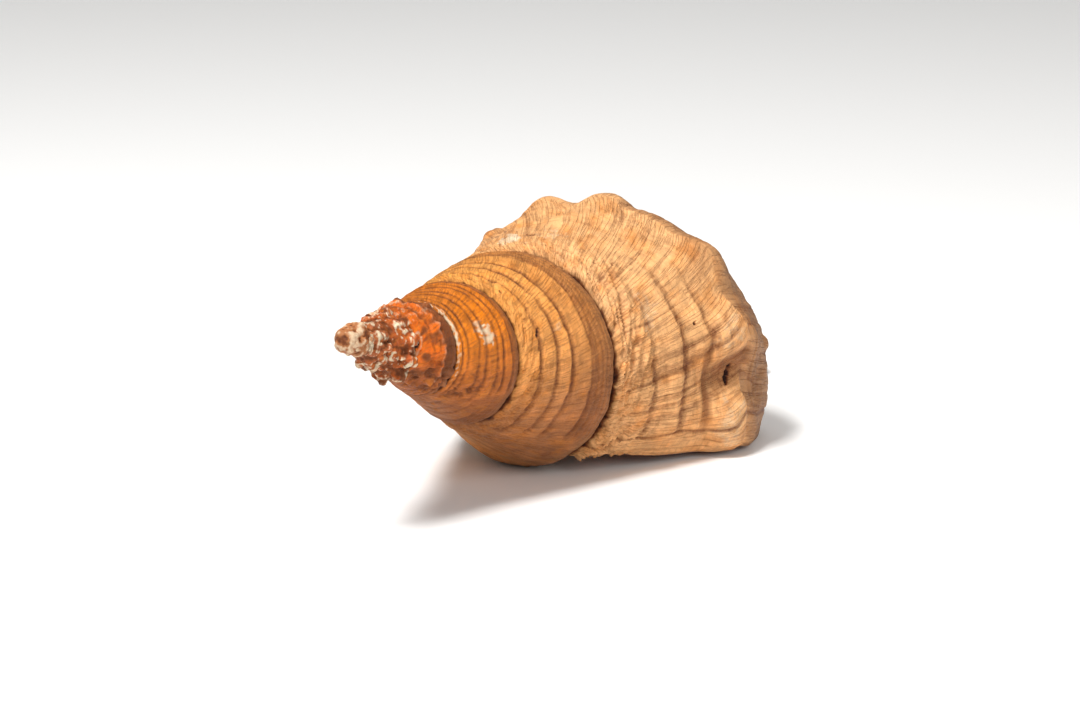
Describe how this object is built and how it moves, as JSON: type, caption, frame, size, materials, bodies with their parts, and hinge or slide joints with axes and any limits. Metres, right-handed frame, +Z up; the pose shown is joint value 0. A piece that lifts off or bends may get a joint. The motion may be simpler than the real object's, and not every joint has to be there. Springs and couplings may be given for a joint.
{
  "type": "horse conch shell",
  "caption": "Spired sea snail shell with a knobbly shoulder, a nodular blunt spire, a wide oval aperture underneath and a short open canal.",
  "frame": {"origin": "centre of the bounding box's bottom, on the surface that the shell rests on", "axes": "+Z up, the canal towards +X, the spire's tip towards -X, the outer lip towards -Y, the aperture facing down"},
  "size_m": [0.296, 0.1104, 0.0927],
  "materials": {
    "calcite": "satin"
  },
  "bodies": {
    "root": {"conch_shell": "calcite"}
  },
  "joints": []
}
